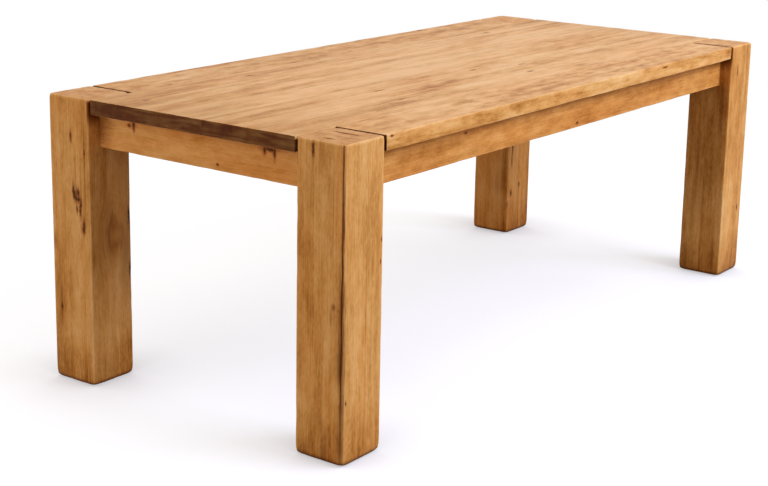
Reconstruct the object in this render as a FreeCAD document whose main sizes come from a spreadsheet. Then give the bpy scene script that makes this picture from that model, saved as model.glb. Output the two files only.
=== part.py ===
import FreeCAD, Part
import os
import re
import Sketcher
from FreeCAD import Placement, Rotation, Vector

# Outdoor dining table in millimetres. X runs along the table, Y across it, Z up.
# The origin is on the floor under the middle of the top.
# Left is the -X end, right the +X end, front the -Y side, back the +Y side.

SIZES = {
    # whole table
    "table_length": 2100,
    "table_width": 950,
    "table_height": 750,
    # square legs that come up through the corners of the top
    "leg_side": 140,
    "leg_arris_radius": 6,
    "leg_top_arris_radius": 2.5,
    "corner_flat": 25,
    # glides let into the feet
    "glide_diameter": 40,
    "glide_thickness": 6,
    "glide_proud": 3,
    "glide_rim_radius": 1.5,
    # planks of the top
    "top_thickness": 38,
    "top_gap": 7,
    "top_end_setback": 2,
    "top_side_setback": 1,
    "top_arris_radius": 2,
    "inner_plank_count": 7,
    # aprons between the legs
    "apron_depth": 88,
    "apron_thickness": 26,
    "apron_inset": 38,
    "apron_arris_radius": 2,
    # cross battens under the planks
    "batten_width": 80,
    "batten_thickness": 30,
    "batten_arris_radius": 3,
    "batten_setback": 290,
    "batten_end_gap": 2,
    # pressed steel corner brackets
    "bracket_plate": 2.5,
    "bracket_bend_radius": 3,
    "bracket_gap": 4,
    "bracket_top_margin": 20,
    "bracket_bottom_margin": 8,
    "wing_length": 40,
    "lip_depth": 8,
    "kerf_clearance": 0.3,
    # hanger bolts, washers and nuts
    "bolt_diameter": 8,
    "bolt_spacing": 30,
    "bolt_bite": 45,
    "bolt_tail": 5,
    "washer_diameter": 18,
    "washer_thickness": 1.6,
    "nut_across": 13,
    "nut_thickness": 6.5,
    # wood screws of the brackets, battens and clips
    "screw_diameter": 4.5,
    "screw_head_diameter": 8.6,
    "screw_head_height": 2.8,
    "screw_point": 4,
    "bracket_screw_length": 20,
    "bracket_screw_spacing": 36,
    "bracket_screw_setback": 16,
    "batten_screw_bite": 24,
    "batten_recess_depth": 12,
    "batten_recess_diameter": 11,
    "clip_screw_bite": 18,
    # clips that hold the top to the aprons
    "clip_plate": 2,
    "clip_width": 20,
    "clip_flange": 24,
    "clip_tongue": 8,
    "clip_standoff": 0.5,
    "clip_groove_drop": 10,
    "clip_groove_width": 4,
    "clip_groove_depth": 10,
    "side_clip_count": 4,
    "end_clip_count": 3,
    "end_clip_plank_step": 2,
    # room round bolts and screws where they pass through, and where they bite
    "hole_clearance": 0.5,
    "pilot_clearance": 0.1,
    # how far every cut runs past the piece
    "overrun": 5,
}

PLACES = {
    "half_length": "table_length / 2",
    "half_width": "table_width / 2",
    "underside": "table_height - top_thickness",
    "leg_length": "table_height - glide_proud",
    "leg_middle": "leg_side / 2",
    "glide_radius": "glide_diameter / 2",
    "glide_recess": "glide_thickness - glide_proud",
    # corner notch that a leg stands in, and the planks beside and between the notches
    "notch": "leg_side + top_gap",
    "inner_half": "half_width - notch",
    "inner_plank_width": "2 * inner_half / inner_plank_count",
    "inner_plank_half": "half_length - top_end_setback",
    "edge_plank_width": "notch - top_side_setback",
    "edge_plank_half": "half_length - notch",
    # aprons
    "apron_bottom": "underside - apron_depth",
    "apron_inside": "apron_inset + apron_thickness",
    "side_apron_half": "half_length - leg_side",
    "end_apron_half": "half_width - leg_side",
    "groove_bottom": "apron_depth - clip_groove_drop - clip_groove_width",
    # corner brackets, measured from where the inner faces of two aprons would meet
    "shoulder": "leg_side - apron_inside",
    "web_reach": "2 * shoulder - corner_flat + bracket_gap * sqrt(2)",
    "bend_reach": "web_reach + bracket_plate * (sqrt(2) - 1)",
    "wing_end": "web_reach + wing_length",
    "wing_screw": "wing_end - bracket_screw_setback",
    "bracket_bottom": "apron_bottom + bracket_bottom_margin",
    "bracket_height": "apron_depth - bracket_bottom_margin - bracket_top_margin",
    "low_bolt": "bracket_bottom + (bracket_height - bolt_spacing) / 2",
    "low_screw": "bracket_bottom + (bracket_height - bracket_screw_spacing) / 2",
    # hardware along a hanger bolt, measured from the flat on the leg
    "flat_middle": "leg_side - corner_flat / 2",
    "bolt_radius": "bolt_diameter / 2",
    "washer_seat": "bracket_gap + bracket_plate",
    "nut_seat": "washer_seat + washer_thickness",
    "bolt_end": "nut_seat + nut_thickness + bolt_tail",
    "nut_corner": "nut_across / sqrt(3)",
    # screws
    "screw_radius": "screw_diameter / 2",
    "screw_head": "screw_head_diameter / 2",
    "screw_hole": "screw_radius + hole_clearance",
    "screw_pilot": "screw_radius + pilot_clearance",
    "batten_pilot": "batten_screw_bite + pilot_clearance",
    "clip_pilot": "clip_screw_bite + pilot_clearance",
    # battens, and the middles of what their screws hold
    "batten_pitch": "side_apron_half - batten_setback",
    "batten_bottom": "underside - batten_thickness",
    "batten_half": "half_width - apron_inside - batten_end_gap",
    "batten_screw_length": "batten_thickness - batten_recess_depth + batten_screw_bite",
    "first_plank_middle": "inner_plank_width / 2 - inner_half",
    "edge_screw": "(half_width - apron_inside + inner_half) / 2",
    # clips, measured from the inner face of their apron
    "clip_screw": "clip_standoff + (clip_plate + clip_flange) / 2",
    "side_clip_pitch": "batten_pitch / 2",
    "side_clip_start": "-side_clip_pitch * (side_clip_count - 1) / 2",
    "end_clip_pitch": "end_clip_plank_step * inner_plank_width",
    "end_clip_start": "first_plank_middle + inner_plank_width",
}

NOWHERE = ("0", "0", "0")
RIGHT, BACK, UP = Vector(1, 0, 0), Vector(0, 1, 0), Vector(0, 0, 1)

# Ways that a turned piece or a bore points
TO_RIGHT = Rotation()
TO_LEFT = Rotation(UP, 180)
TO_FRONT = Rotation(UP, -90)
UPWARD = Rotation(BACK, -90)
INTO_TABLE = Rotation(UP, 45)
INTO_LEG = Rotation(UP, -135)

# Ways that an upright outline stands, by its own first axis, second axis and normal
ACROSS = Rotation(BACK, UP, RIGHT, "XYZ")
ALONG = Rotation(RIGHT, UP, -BACK, "XYZ")
FACING_TABLE = Rotation(BACK - RIGHT, UP, RIGHT + BACK, "XYZ")

# Signs of each leg's X and Y, in the order in which quarter turns lead from one leg to the next
CORNERS = {
    "front_left": ("-", "-"),
    "front_right": ("", "-"),
    "back_right": ("", ""),
    "back_left": ("-", ""),
}

# Middle line of each cross batten
BATTENS = {
    "left": "-batten_pitch",
    "middle": "0",
    "right": "batten_pitch",
}

doc = FreeCAD.newDocument("dining_table")
sheets = {}
owner = {}
bodies = {}


def fill_sheet(name, cells):
    """A sheet with one named cell per row."""
    sheet = doc.addObject("Spreadsheet::Sheet", name)
    for row, (alias, text) in enumerate(cells.items(), 1):
        sheet.set(f"A{row}", alias)
        sheet.set(f"B{row}", text)
        sheet.setAlias(f"B{row}", alias)
        owner[alias] = name + "."
    doc.recompute()
    sheets[name] = sheet


def bound(words):
    """Expression text in which each size's name points at its cell."""
    return re.sub(r"[a-z_]+", lambda word: owner.get(word.group(), "") + word.group(), words)


def value(words):
    """What an expression comes to now."""
    return float(sheets["sizes"].evalExpression(bound(words)))


def bind(item, **expressions):
    """Ties properties of an object to the sheets."""
    for name, words in expressions.items():
        item.setExpression(name, bound(words))


def bind_base(item, name, place):
    """Ties the three coordinates of a placement to the sheets."""
    for axis, words in zip("xyz", place):
        item.setExpression(f"{name}.Base.{axis}", bound(words))


def start_body(label, place=NOWHERE, quarters=0):
    """An empty body, given quarter turns about Z and set down at a bound place."""
    body = doc.addObject("PartDesign::Body", label)
    body.Label = label
    body.Placement = Placement(Vector(), Rotation(UP, 90 * quarters))
    bind_base(body, "Placement", place)
    bodies[label] = body
    return body


def datum(body, role):
    """One of the body's own origin planes or axes."""
    return next(item for item in body.Origin.OriginFeatures if item.Role == role)


def draw(body, name, points, place=NOWHERE, facing=TO_RIGHT):
    """A closed outline of lines, each start held by two bound distances from the sketch's origin."""
    sketch = body.newObject("Sketcher::SketchObject", name)
    sketch.AttachmentSupport = [(datum(body, "XY_Plane"), "")]
    sketch.MapMode = "FlatFace"
    sketch.AttachmentOffset = Placement(Vector(), facing)
    bind_base(sketch, "AttachmentOffset", place)
    corners = [Vector(value(x), value(y), 0) for x, y in points]
    count = len(corners)
    for i in range(count):
        sketch.addGeometry(Part.LineSegment(corners[i], corners[(i + 1) % count]))
    for i in range(count):
        sketch.addConstraint(Sketcher.Constraint("Coincident", i, 2, (i + 1) % count, 1))
    for i, words in enumerate(points):
        for kind, text, length in zip(("DistanceX", "DistanceY"), words, corners[i]):
            held = sketch.addConstraint(Sketcher.Constraint(kind, -1, 1, i, 1, length))
            sketch.setExpression(f"Constraints[{held}]", bound(text))
    return sketch


def add_feature(body, kind, name, profile, **expressions):
    """A feature on a profile: a pad or revolution adds, a pocket or groove cuts."""
    before = body.Tip.Shape.Volume if body.Tip else 0
    feature = body.newObject("PartDesign::" + kind, name)
    feature.Profile = profile
    if kind in ("Revolution", "Groove"):
        feature.ReferenceAxis = (profile, ["H_Axis"])
        feature.Angle = 360
    if kind == "Pocket":
        feature.Reversed = True
    bind(feature, **expressions)
    doc.recompute()
    if kind in ("Pocket", "Groove") and feature.Shape.Volume >= before:
        raise RuntimeError(f"{body.Label}: {name} cuts nothing")
    return feature


def rectangle(left, low, right, high):
    """The four corners of a rectangle."""
    return [(left, low), (right, low), (right, high), (left, high)]


def board(body, outline, thickness):
    """Wood sawn to an outline in plan."""
    return add_feature(body, "Pad", "blank", draw(body, "plan", outline), Length=thickness)


def trench(body, name, outline, bottom, height):
    """A cut with an outline in plan, from one level upwards."""
    profile = draw(body, name + "_plan", outline, ("0", "0", bottom))
    return add_feature(body, "Pocket", name, profile, Length=height)


def turned(body, name, outline, place, facing):
    """A round piece about a line through a place."""
    return add_feature(body, "Revolution", name, draw(body, name + "_line", outline, place, facing))


def bore(body, name, place, facing, depth, radius):
    """A round hole from a place on the surface into the piece."""
    outline = rectangle("-overrun", "0", depth, radius)
    return add_feature(body, "Groove", name, draw(body, name + "_line", outline, place, facing))


def ease(body, name, radius, wanted):
    """Rounds the edges whose boxes are wanted."""
    base = body.Tip
    chosen = [f"Edge{i}" for i, edge in enumerate(base.Shape.Edges, 1) if wanted(edge.BoundBox)]
    fillet = body.newObject("PartDesign::Fillet", name)
    fillet.Base = (base, chosen)
    bind(fillet, Radius=radius)
    doc.recompute()


def row(body, axis, pitch, count):
    """A row of copies along one of the body's axes, as a step of repeat()."""
    copies = doc.addObject("PartDesign::LinearPattern", "row")
    body.addObject(copies)
    copies.Direction = (datum(body, axis), [""])
    bind(copies, Length=f"{pitch} * ({count} - 1)", Occurrences=count)
    return copies


def batten_row(body):
    """One copy for each cross batten, as a step of repeat()."""
    return row(body, "X_Axis", "batten_pitch", str(len(BATTENS)))


def mirror(body, plane):
    """The same again on the other side of an origin plane, as a step of repeat()."""
    copy = doc.addObject("PartDesign::Mirrored", "mirror")
    body.addObject(copy)
    copy.MirrorPlane = (datum(body, plane), [""])
    return copy


def repeat(body, features, *steps):
    """Carries features through rows and mirrors, one after the other."""
    many = body.newObject("PartDesign::MultiTransform", "repeated")
    many.Originals = features
    many.Transformations = list(steps)
    body.Tip = many
    doc.recompute()


def four_corners(body, features, *steps):
    """Carries features of the front left corner to the other three."""
    repeat(body, features, *steps, mirror(body, "YZ_Plane"), mirror(body, "XZ_Plane"))


def screw_outline(length):
    """Half of a wood screw along its own line, from the middle of its head to its point."""
    return [
        ("-screw_head_height", "0"),
        (length, "0"),
        (f"{length} - screw_point", "screw_radius"),
        ("0", "screw_radius"),
        ("0", "screw_head"),
        ("-screw_head_height / 2", "screw_head"),
        ("-screw_head_height", "screw_head / 2"),
    ]


def make_leg(corner):
    """A square post with rounded arrises, a flat for the bolts on its inner corner and a glide recess."""
    x_sign, y_sign = CORNERS[corner]
    place = (x_sign + "half_length", y_sign + "half_width", "glide_proud")
    body = start_body("leg_" + corner, place, list(CORNERS).index(corner))
    board(body, rectangle("0", "0", "leg_side", "leg_side"), "leg_length")
    halfway = value("leg_length / 2")
    ease(body, "arrises", "leg_arris_radius", lambda box: box.ZMin < halfway)
    ease(body, "top_arrises", "leg_top_arris_radius", lambda box: box.ZMin > halfway)
    past, short = "leg_side + overrun", "leg_side - corner_flat - overrun"
    trench(body, "bolt_flat", [(short, past), (past, short), (past, past)],
           "apron_bottom - glide_proud", "apron_depth")
    hole = bore(body, "bolt_hole", ("flat_middle", "flat_middle", "low_bolt - glide_proud"), INTO_LEG,
                "bolt_bite + pilot_clearance", "bolt_radius + pilot_clearance")
    repeat(body, [hole], row(body, "Z_Axis", "bolt_spacing", "2"))
    bore(body, "glide_seat", ("leg_middle", "leg_middle", "0"), UPWARD,
         "glide_recess", "glide_radius + pilot_clearance")


def make_edge_plank(side, quarters, y):
    """A plank that stops between two legs, with pilot holes for batten and clip screws."""
    body = start_body("edge_plank_" + side, ("0", y, "underside"), quarters)
    outline = rectangle("-edge_plank_half", "0", "edge_plank_half", "edge_plank_width")
    board(body, outline, "top_thickness")
    middle, halfway = value("edge_plank_width / 2"), value("top_thickness / 2")
    ease(body, "arrises", "top_arris_radius", lambda box: box.ZMin > halfway and box.YMin < middle)
    batten_y = "half_width - top_side_setback - edge_screw"
    first = (BATTENS["left"], batten_y, "0")
    hole = bore(body, "batten_pilot", first, UPWARD, "batten_pilot", "screw_pilot")
    repeat(body, [hole], batten_row(body))
    clip_y = "apron_inside + clip_screw - top_side_setback"
    first = ("side_clip_start", clip_y, "0")
    hole = bore(body, "clip_pilot", first, UPWARD, "clip_pilot", "screw_pilot")
    repeat(body, [hole], row(body, "X_Axis", "side_clip_pitch", "side_clip_count"))


def make_inner_plank(index, takes_clips):
    """A full-length plank, with pilot holes for batten screws and, on some, for clip screws."""
    front = f"{index} * inner_plank_width - inner_half"
    body = start_body(f"top_plank_{index + 1}", ("0", front, "underside"))
    outline = rectangle("-inner_plank_half", "0", "inner_plank_half", "inner_plank_width")
    board(body, outline, "top_thickness")
    halfway = value("top_thickness / 2")
    ease(body, "end_arrises", "top_arris_radius",
         lambda box: box.ZMin > halfway and box.XLength < box.YLength)
    middle = "inner_plank_width / 2"
    first = (BATTENS["left"], middle, "0")
    hole = bore(body, "batten_pilot", first, UPWARD, "batten_pilot", "screw_pilot")
    repeat(body, [hole], batten_row(body))
    if takes_clips:
        first = ("apron_inside + clip_screw - half_length", middle, "0")
        hole = bore(body, "clip_pilot", first, UPWARD, "clip_pilot", "screw_pilot")
        repeat(body, [hole], mirror(body, "YZ_Plane"))


def make_apron(label, quarters, place, half):
    """A rail between two legs, with a groove for clips, kerfs for bracket lips and pilot holes."""
    body = start_body("apron_" + label, place + ("apron_bottom",), quarters)
    board(body, rectangle("-" + half, "0", half, "apron_thickness"), "apron_depth")
    halfway = value("apron_depth / 2")
    ease(body, "arrises", "apron_arris_radius",
         lambda box: box.ZMax < halfway and box.XLength > box.YLength)
    past = "apron_thickness + overrun"
    floor = "apron_thickness - clip_groove_depth"
    groove = rectangle(f"-{half} - overrun", floor, f"{half} + overrun", past)
    trench(body, "clip_groove", groove, "groove_bottom", "clip_groove_width")
    bracket = f"-{half} - shoulder"
    near_side = f"{bracket} + wing_end - bracket_plate - kerf_clearance"
    far_side = f"{bracket} + wing_end + kerf_clearance"
    slit = rectangle(near_side, "apron_thickness - lip_depth - kerf_clearance", far_side, past)
    kerf = trench(body, "lip_kerf", slit, "-overrun", "apron_depth + 2 * overrun")
    repeat(body, [kerf], mirror(body, "YZ_Plane"))
    screw = (f"{bracket} + wing_screw", "apron_thickness", "low_screw - apron_bottom")
    hole = bore(body, "screw_pilot", screw, TO_FRONT, "bracket_screw_length", "screw_pilot")
    repeat(body, [hole], row(body, "Z_Axis", "bracket_screw_spacing", "2"), mirror(body, "YZ_Plane"))


def make_batten(label):
    """A cross batten with one recessed screw hole for each plank."""
    body = start_body("cross_batten_" + label, (BATTENS[label], "0", "batten_bottom"))
    outline = rectangle("-batten_width / 2", "-batten_half", "batten_width / 2", "batten_half")
    board(body, outline, "batten_thickness")
    halfway = value("batten_thickness / 2")
    ease(body, "arrises", "batten_arris_radius",
         lambda box: box.ZMax < halfway and box.YLength > box.XLength)
    through, recess = "batten_thickness + overrun", "batten_recess_diameter / 2"
    stepped = [
        ("-overrun", "0"),
        (through, "0"),
        (through, "screw_hole"),
        ("batten_recess_depth", "screw_hole"),
        ("batten_recess_depth", recess),
        ("-overrun", recess),
    ]
    line = draw(body, "plank_hole_line", stepped, ("0", "first_plank_middle", "0"), UPWARD)
    hole = add_feature(body, "Groove", "plank_hole", line)
    repeat(body, [hole], row(body, "Y_Axis", "inner_plank_width", "inner_plank_count"))
    line = draw(body, "edge_hole_line", stepped, ("0", "-edge_screw", "0"), UPWARD)
    hole = add_feature(body, "Groove", "edge_hole", line)
    repeat(body, [hole], mirror(body, "XZ_Plane"))


def make_bracket(corner):
    """A bent plate behind a leg: a slanting web, a wing on each apron and lips that hook into kerfs."""
    x_sign, y_sign = CORNERS[corner]
    x = f"{x_sign}(half_length - apron_inside)"
    y = f"{y_sign}(half_width - apron_inside)"
    body = start_body("corner_bracket_" + corner, (x, y, "bracket_bottom"), list(CORNERS).index(corner))
    half_outline = [
        ("web_reach", "0"),
        ("wing_end - bracket_plate", "0"),
        ("wing_end - bracket_plate", "-lip_depth"),
        ("wing_end", "-lip_depth"),
        ("wing_end", "bracket_plate"),
        ("bend_reach", "bracket_plate"),
    ]
    other_half = [(across, along) for along, across in reversed(half_outline)]
    board(body, half_outline + other_half, "bracket_height")
    window = value("bracket_plate / 2")

    def upright_at(along, across):
        """Picks the two upright edges at a corner of the outline and at its twin."""
        spots = [(value(along), value(across)), (value(across), value(along))]
        return lambda box: box.ZLength > window and any(
            abs(box.XMin - x) < window and abs(box.YMin - y) < window for x, y in spots)

    ease(body, "outer_bends", "bracket_bend_radius + bracket_plate", upright_at("web_reach", "0"))
    ease(body, "inner_bends", "bracket_bend_radius", upright_at("bend_reach", "bracket_plate"))
    ease(body, "lip_bends", "bracket_plate", upright_at("wing_end", "bracket_plate"))
    through = "bracket_plate + overrun"
    hole = bore(body, "bolt_hole", ("web_reach / 2", "web_reach / 2", "low_bolt - bracket_bottom"),
                INTO_TABLE, through, "bolt_radius + hole_clearance")
    repeat(body, [hole], row(body, "Z_Axis", "bolt_spacing", "2"))
    level = "low_screw - bracket_bottom"
    side = ("wing_screw", "bracket_plate", level)
    end = ("bracket_plate", "wing_screw", level)
    holes = [
        bore(body, "side_hole", side, TO_FRONT, through, "screw_hole"),
        bore(body, "end_hole", end, TO_LEFT, through, "screw_hole"),
    ]
    repeat(body, holes, row(body, "Z_Axis", "bracket_screw_spacing", "2"))


def make_bolt_hardware():
    """Hanger bolts from the flats of the legs through the brackets, with their washers and nuts."""
    x, y = "flat_middle - half_length", "flat_middle - half_width"
    bolt = [
        ("-bolt_bite", "0"),
        ("bolt_end", "0"),
        ("bolt_end", "bolt_radius"),
        ("bolt_radius - bolt_bite", "bolt_radius"),
    ]
    washer = rectangle("washer_seat", "bolt_radius + hole_clearance", "nut_seat", "washer_diameter / 2")
    for label, outline in {"hanger_bolts": bolt, "bolt_washers": washer}.items():
        body = start_body(label)
        piece = turned(body, "piece", outline, (x, y, "low_bolt"), INTO_TABLE)
        four_corners(body, [piece], row(body, "Z_Axis", "bolt_spacing", "2"))
    body = start_body("hex_nuts")
    seat = (x + " + nut_seat / sqrt(2)", y + " + nut_seat / sqrt(2)", "low_bolt")
    hexagon = [
        ("nut_across / 2", "-nut_corner / 2"),
        ("nut_across / 2", "nut_corner / 2"),
        ("0", "nut_corner"),
        ("-nut_across / 2", "nut_corner / 2"),
        ("-nut_across / 2", "-nut_corner / 2"),
        ("0", "-nut_corner"),
    ]
    profile = draw(body, "hexagon", hexagon, seat, FACING_TABLE)
    nut = add_feature(body, "Pad", "nut", profile, Length="nut_thickness")
    through = "nut_thickness + overrun"
    hole = bore(body, "thread", seat, INTO_TABLE, through, "bolt_radius + pilot_clearance")
    four_corners(body, [nut, hole], row(body, "Z_Axis", "bolt_spacing", "2"))


def make_bracket_screws():
    """Two screws through each wing of each bracket."""
    body = start_body("bracket_screws")
    x, y = "apron_inside - half_length", "apron_inside - half_width"
    outline = screw_outline("bracket_screw_length")
    side = (x + " + wing_screw", y + " + bracket_plate", "low_screw")
    end = (x + " + bracket_plate", y + " + wing_screw", "low_screw")
    screws = [
        turned(body, "side_screw", outline, side, TO_FRONT),
        turned(body, "end_screw", outline, end, TO_LEFT),
    ]
    four_corners(body, screws, row(body, "Z_Axis", "bracket_screw_spacing", "2"))


def make_batten_screws():
    """One screw through each batten into each plank."""
    body = start_body("batten_screws")
    level = "batten_bottom + batten_recess_depth"
    outline = screw_outline("batten_screw_length")
    screw = turned(body, "plank_screw", outline, (BATTENS["left"], "first_plank_middle", level), UPWARD)
    planks = row(body, "Y_Axis", "inner_plank_width", "inner_plank_count")
    repeat(body, [screw], batten_row(body), planks)
    screw = turned(body, "edge_screw", outline, (BATTENS["left"], "-edge_screw", level), UPWARD)
    repeat(body, [screw], batten_row(body), mirror(body, "XZ_Plane"))


def make_clips(label, corner, screw_place, facing, axis, pitch, count, plane):
    """Z-shaped clips with a flange under a plank and a tongue in the apron's groove, and their screws."""
    riser = "clip_standoff + clip_plate"
    tongue = "clip_groove_drop + clip_plate"
    outline = [
        ("clip_standoff", "0"),
        ("clip_standoff + clip_flange", "0"),
        ("clip_standoff + clip_flange", "-clip_plate"),
        (riser, "-clip_plate"),
        (riser, f"-({tongue})"),
        ("-clip_tongue", f"-({tongue})"),
        ("-clip_tongue", "-clip_groove_drop"),
        ("clip_standoff", "-clip_groove_drop"),
    ]
    body = start_body(label + "_clips")
    profile = draw(body, "profile", outline, corner, facing)
    clip = add_feature(body, "Pad", "clip", profile, Length="clip_width")
    seat = screw_place + ("underside - clip_plate",)
    hole = bore(body, "screw_hole", seat, UPWARD, "clip_plate + overrun", "screw_hole")
    repeat(body, [clip, hole], row(body, axis, pitch, count), mirror(body, plane))
    body = start_body(label + "_clip_screws")
    screw = turned(body, "screw", screw_outline("clip_plate + clip_screw_bite"), seat, UPWARD)
    repeat(body, [screw], row(body, axis, pitch, count), mirror(body, plane))


def make_glides():
    """A round glide under each leg, with a rounded rim on the floor."""
    body = start_body("leg_glides")
    outline = [
        ("0", "0"),
        ("glide_thickness", "0"),
        ("glide_thickness", "glide_radius"),
        ("glide_rim_radius", "glide_radius"),
        ("0", "glide_radius - glide_rim_radius"),
    ]
    place = ("leg_middle - half_length", "leg_middle - half_width", "0")
    glide = turned(body, "glide", outline, place, UPWARD)
    four_corners(body, [glide])


def check_and_write():
    """Every object is sound and every shape is whole before any file is written."""
    failed = [item.Name for item in doc.Objects if "Invalid" in item.State or "Error" in item.State]
    failed += [label for label, body in bodies.items() if body.Shape.isNull() or not body.Shape.isValid()]
    if failed:
        raise RuntimeError("failed: " + ", ".join(failed))
    os.makedirs("parts", exist_ok=True)
    for label, body in bodies.items():
        body.Shape.exportStep(f"parts/{label}.step")


fill_sheet("sizes", {alias: str(number) for alias, number in SIZES.items()})
fill_sheet("places", {alias: "=" + bound(words) for alias, words in PLACES.items()})

for corner in CORNERS:
    make_leg(corner)
    make_bracket(corner)

make_edge_plank("front", 0, "top_side_setback - half_width")
make_edge_plank("back", 2, "half_width - top_side_setback")
clip_planks = [1 + i * SIZES["end_clip_plank_step"] for i in range(SIZES["end_clip_count"])]
for index in range(SIZES["inner_plank_count"]):
    make_inner_plank(index, index in clip_planks)

make_apron("front", 0, ("0", "apron_inset - half_width"), "side_apron_half")
make_apron("back", 2, ("0", "half_width - apron_inset"), "side_apron_half")
make_apron("left_end", 3, ("apron_inset - half_length", "0"), "end_apron_half")
make_apron("right_end", 1, ("half_length - apron_inset", "0"), "end_apron_half")

for label in BATTENS:
    make_batten(label)

make_bolt_hardware()
make_bracket_screws()
make_batten_screws()
make_clips("side", ("side_clip_start - clip_width / 2", "apron_inside - half_width", "underside"),
           ("side_clip_start", "apron_inside - half_width + clip_screw"), ACROSS,
           "X_Axis", "side_clip_pitch", "side_clip_count", "XZ_Plane")
make_clips("end", ("apron_inside - half_length", "end_clip_start + clip_width / 2", "underside"),
           ("apron_inside - half_length + clip_screw", "end_clip_start"), ALONG,
           "Y_Axis", "end_clip_pitch", "end_clip_count", "YZ_Plane")
make_glides()
check_and_write()
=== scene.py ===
"""Looks of a post-and-plank dining table: worn pine boards, zinc-plated hardware and a plain white studio."""

import math

import bpy
import numpy as np
from bpy.props import FloatProperty, FloatVectorProperty, PointerProperty
from mathutils import Matrix, Vector


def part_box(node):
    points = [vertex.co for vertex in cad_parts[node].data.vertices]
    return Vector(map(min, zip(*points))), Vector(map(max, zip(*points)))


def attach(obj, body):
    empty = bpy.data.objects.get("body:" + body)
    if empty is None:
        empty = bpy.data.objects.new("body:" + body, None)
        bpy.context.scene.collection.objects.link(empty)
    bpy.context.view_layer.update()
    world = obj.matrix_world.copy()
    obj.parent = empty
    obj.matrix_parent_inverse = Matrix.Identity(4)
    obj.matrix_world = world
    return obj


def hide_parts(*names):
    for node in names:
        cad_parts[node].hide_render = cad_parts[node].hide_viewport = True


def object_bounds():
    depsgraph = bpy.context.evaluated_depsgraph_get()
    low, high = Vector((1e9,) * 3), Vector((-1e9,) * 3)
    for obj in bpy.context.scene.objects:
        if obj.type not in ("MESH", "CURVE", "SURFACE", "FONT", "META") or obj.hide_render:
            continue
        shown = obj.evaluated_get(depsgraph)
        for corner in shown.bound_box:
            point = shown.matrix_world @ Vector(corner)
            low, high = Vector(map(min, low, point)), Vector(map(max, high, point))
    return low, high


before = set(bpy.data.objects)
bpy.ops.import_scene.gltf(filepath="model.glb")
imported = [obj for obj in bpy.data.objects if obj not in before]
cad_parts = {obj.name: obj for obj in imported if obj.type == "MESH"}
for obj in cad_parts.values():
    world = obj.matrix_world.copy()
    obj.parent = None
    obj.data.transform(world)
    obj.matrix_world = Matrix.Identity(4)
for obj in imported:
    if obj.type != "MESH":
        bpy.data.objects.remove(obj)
CAD_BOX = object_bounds()

bl_info = {
    "name": "Post and Plank Table",
    "version": (1, 0, 0),
    "blender": (4, 5, 0),
    "location": "3D View > Sidebar > Table",
    "description": "Dresses the frame of a heavy dining table in worn pine",
    "category": "Object",
}

MM = 0.001
PHOTO_WIDTH, PHOTO_HEIGHT = 768, 486
ALONG_X, ALONG_Y, ALONG_Z = 0, 1, 2

# How close in metres to a face a point lies on it, and a length that no board reaches
TOUCH, FAR = 1e-6, 1e6

# Starts of the random draws. Nicks and rings add the board's number to theirs
WAVE_SEED, NICK_SEED, CHECK_SEED, RING_SEED = 100, 200, 300, 500

LEGS = ["leg_front_left", "leg_front_right", "leg_back_right", "leg_back_left"]
EDGE_PLANKS = ["edge_plank_front", "edge_plank_back"]
TOP_PLANKS = sorted(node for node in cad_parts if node.startswith("top_plank_"))
SIDE_APRONS = ["apron_front", "apron_back"]
END_APRONS = ["apron_left_end", "apron_right_end"]
BATTENS = sorted(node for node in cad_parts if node.startswith("cross_batten_"))
GLIDES = "leg_glides"
WOODEN = LEGS + EDGE_PLANKS + TOP_PLANKS + SIDE_APRONS + END_APRONS + BATTENS

# Knots, as x, y, z, half length along the grain and half width across it, all in mm
KNOTS = {
    "leg_front_left": [
        (-1050, -382, 730, 11, 3), (-1041, -475, 154, 3, 1.8), (-916, -475, 511, 4, 1.5),
        (-919, -475, 460, 4, 1.5),
    ],
    "leg_back_left": [
        (-1050, 399, 651, 8, 3), (-1050, 351, 611, 7, 2), (-1050, 394, 515, 10, 2.8),
        (-1050, 391, 501, 9, 3.2), (-1050, 384, 493, 6, 4.5), (-1050, 375, 490, 6, 5),
        (-1050, 376, 507, 6, 3), (-1050, 367, 482, 9, 3), (-1050, 382, 465, 8, 2),
        (-1050, 370, 463, 11, 2.8), (-1050, 358, 425, 12, 3.6), (-1050, 360, 413, 8, 4.2),
        (-1050, 447, 196, 5, 2.5), (-914, 335, 427, 16, 5), (-915, 335, 285, 12, 3.5),
    ],
    "leg_front_right": [(957, -475, 668, 8, 2.2), (1021, -475, 212, 7, 3)],
    "leg_back_right": [(934, 335, 306, 12, 2.4), (932, 335, 146, 7, 4.5), (983, 335, 171, 4, 2)],
    "apron_left_end": [
        (-1012, 229, 693, 3.5, 4), (-1012, 214, 695, 3.2, 11), (-1012, 220, 707, 8, 2.5),
        (-1012, -208, 695, 4, 7), (-1012, -223, 698.5, 14, 3.6), (-1012, -238, 692, 2.8, 13),
        (-1012, -62, 639, 3, 2.5),
    ],
    "apron_front": [(16, -437, 636, 4, 2.6), (-529, -437, 692, 4, 2), (213, -437, 703, 6, 2.4)],
    "edge_plank_front": [(450, -474, 741, 10, 1.8), (-884, -474, 745, 4, 2)],
    "edge_plank_back": [(532, 461, 750, 9, 4)],
    "top_plank_1": [(-522, -235, 750, 9, 3), (74, -247, 750, 9, 3.5)],
    "top_plank_2": [(166, -161, 750, 9, 2.5)],
    "top_plank_3": [(-21, -117, 750, 8, 3), (-461, -121, 750, 16, 2)],
    "top_plank_6": [(-960, 222, 750, 7, 2.5)],
    "top_plank_7": [(-516, 279, 750, 7, 2.5), (640, 272, 750, 10, 3.5)],
}

# Healed knots that show only as swirls in the grain, in the same measures
EYES = {
    "leg_back_left": [(-964, 335, 385, 42, 24)],
    "leg_back_right": [(975, 335, 410, 30, 12)],
}

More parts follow.
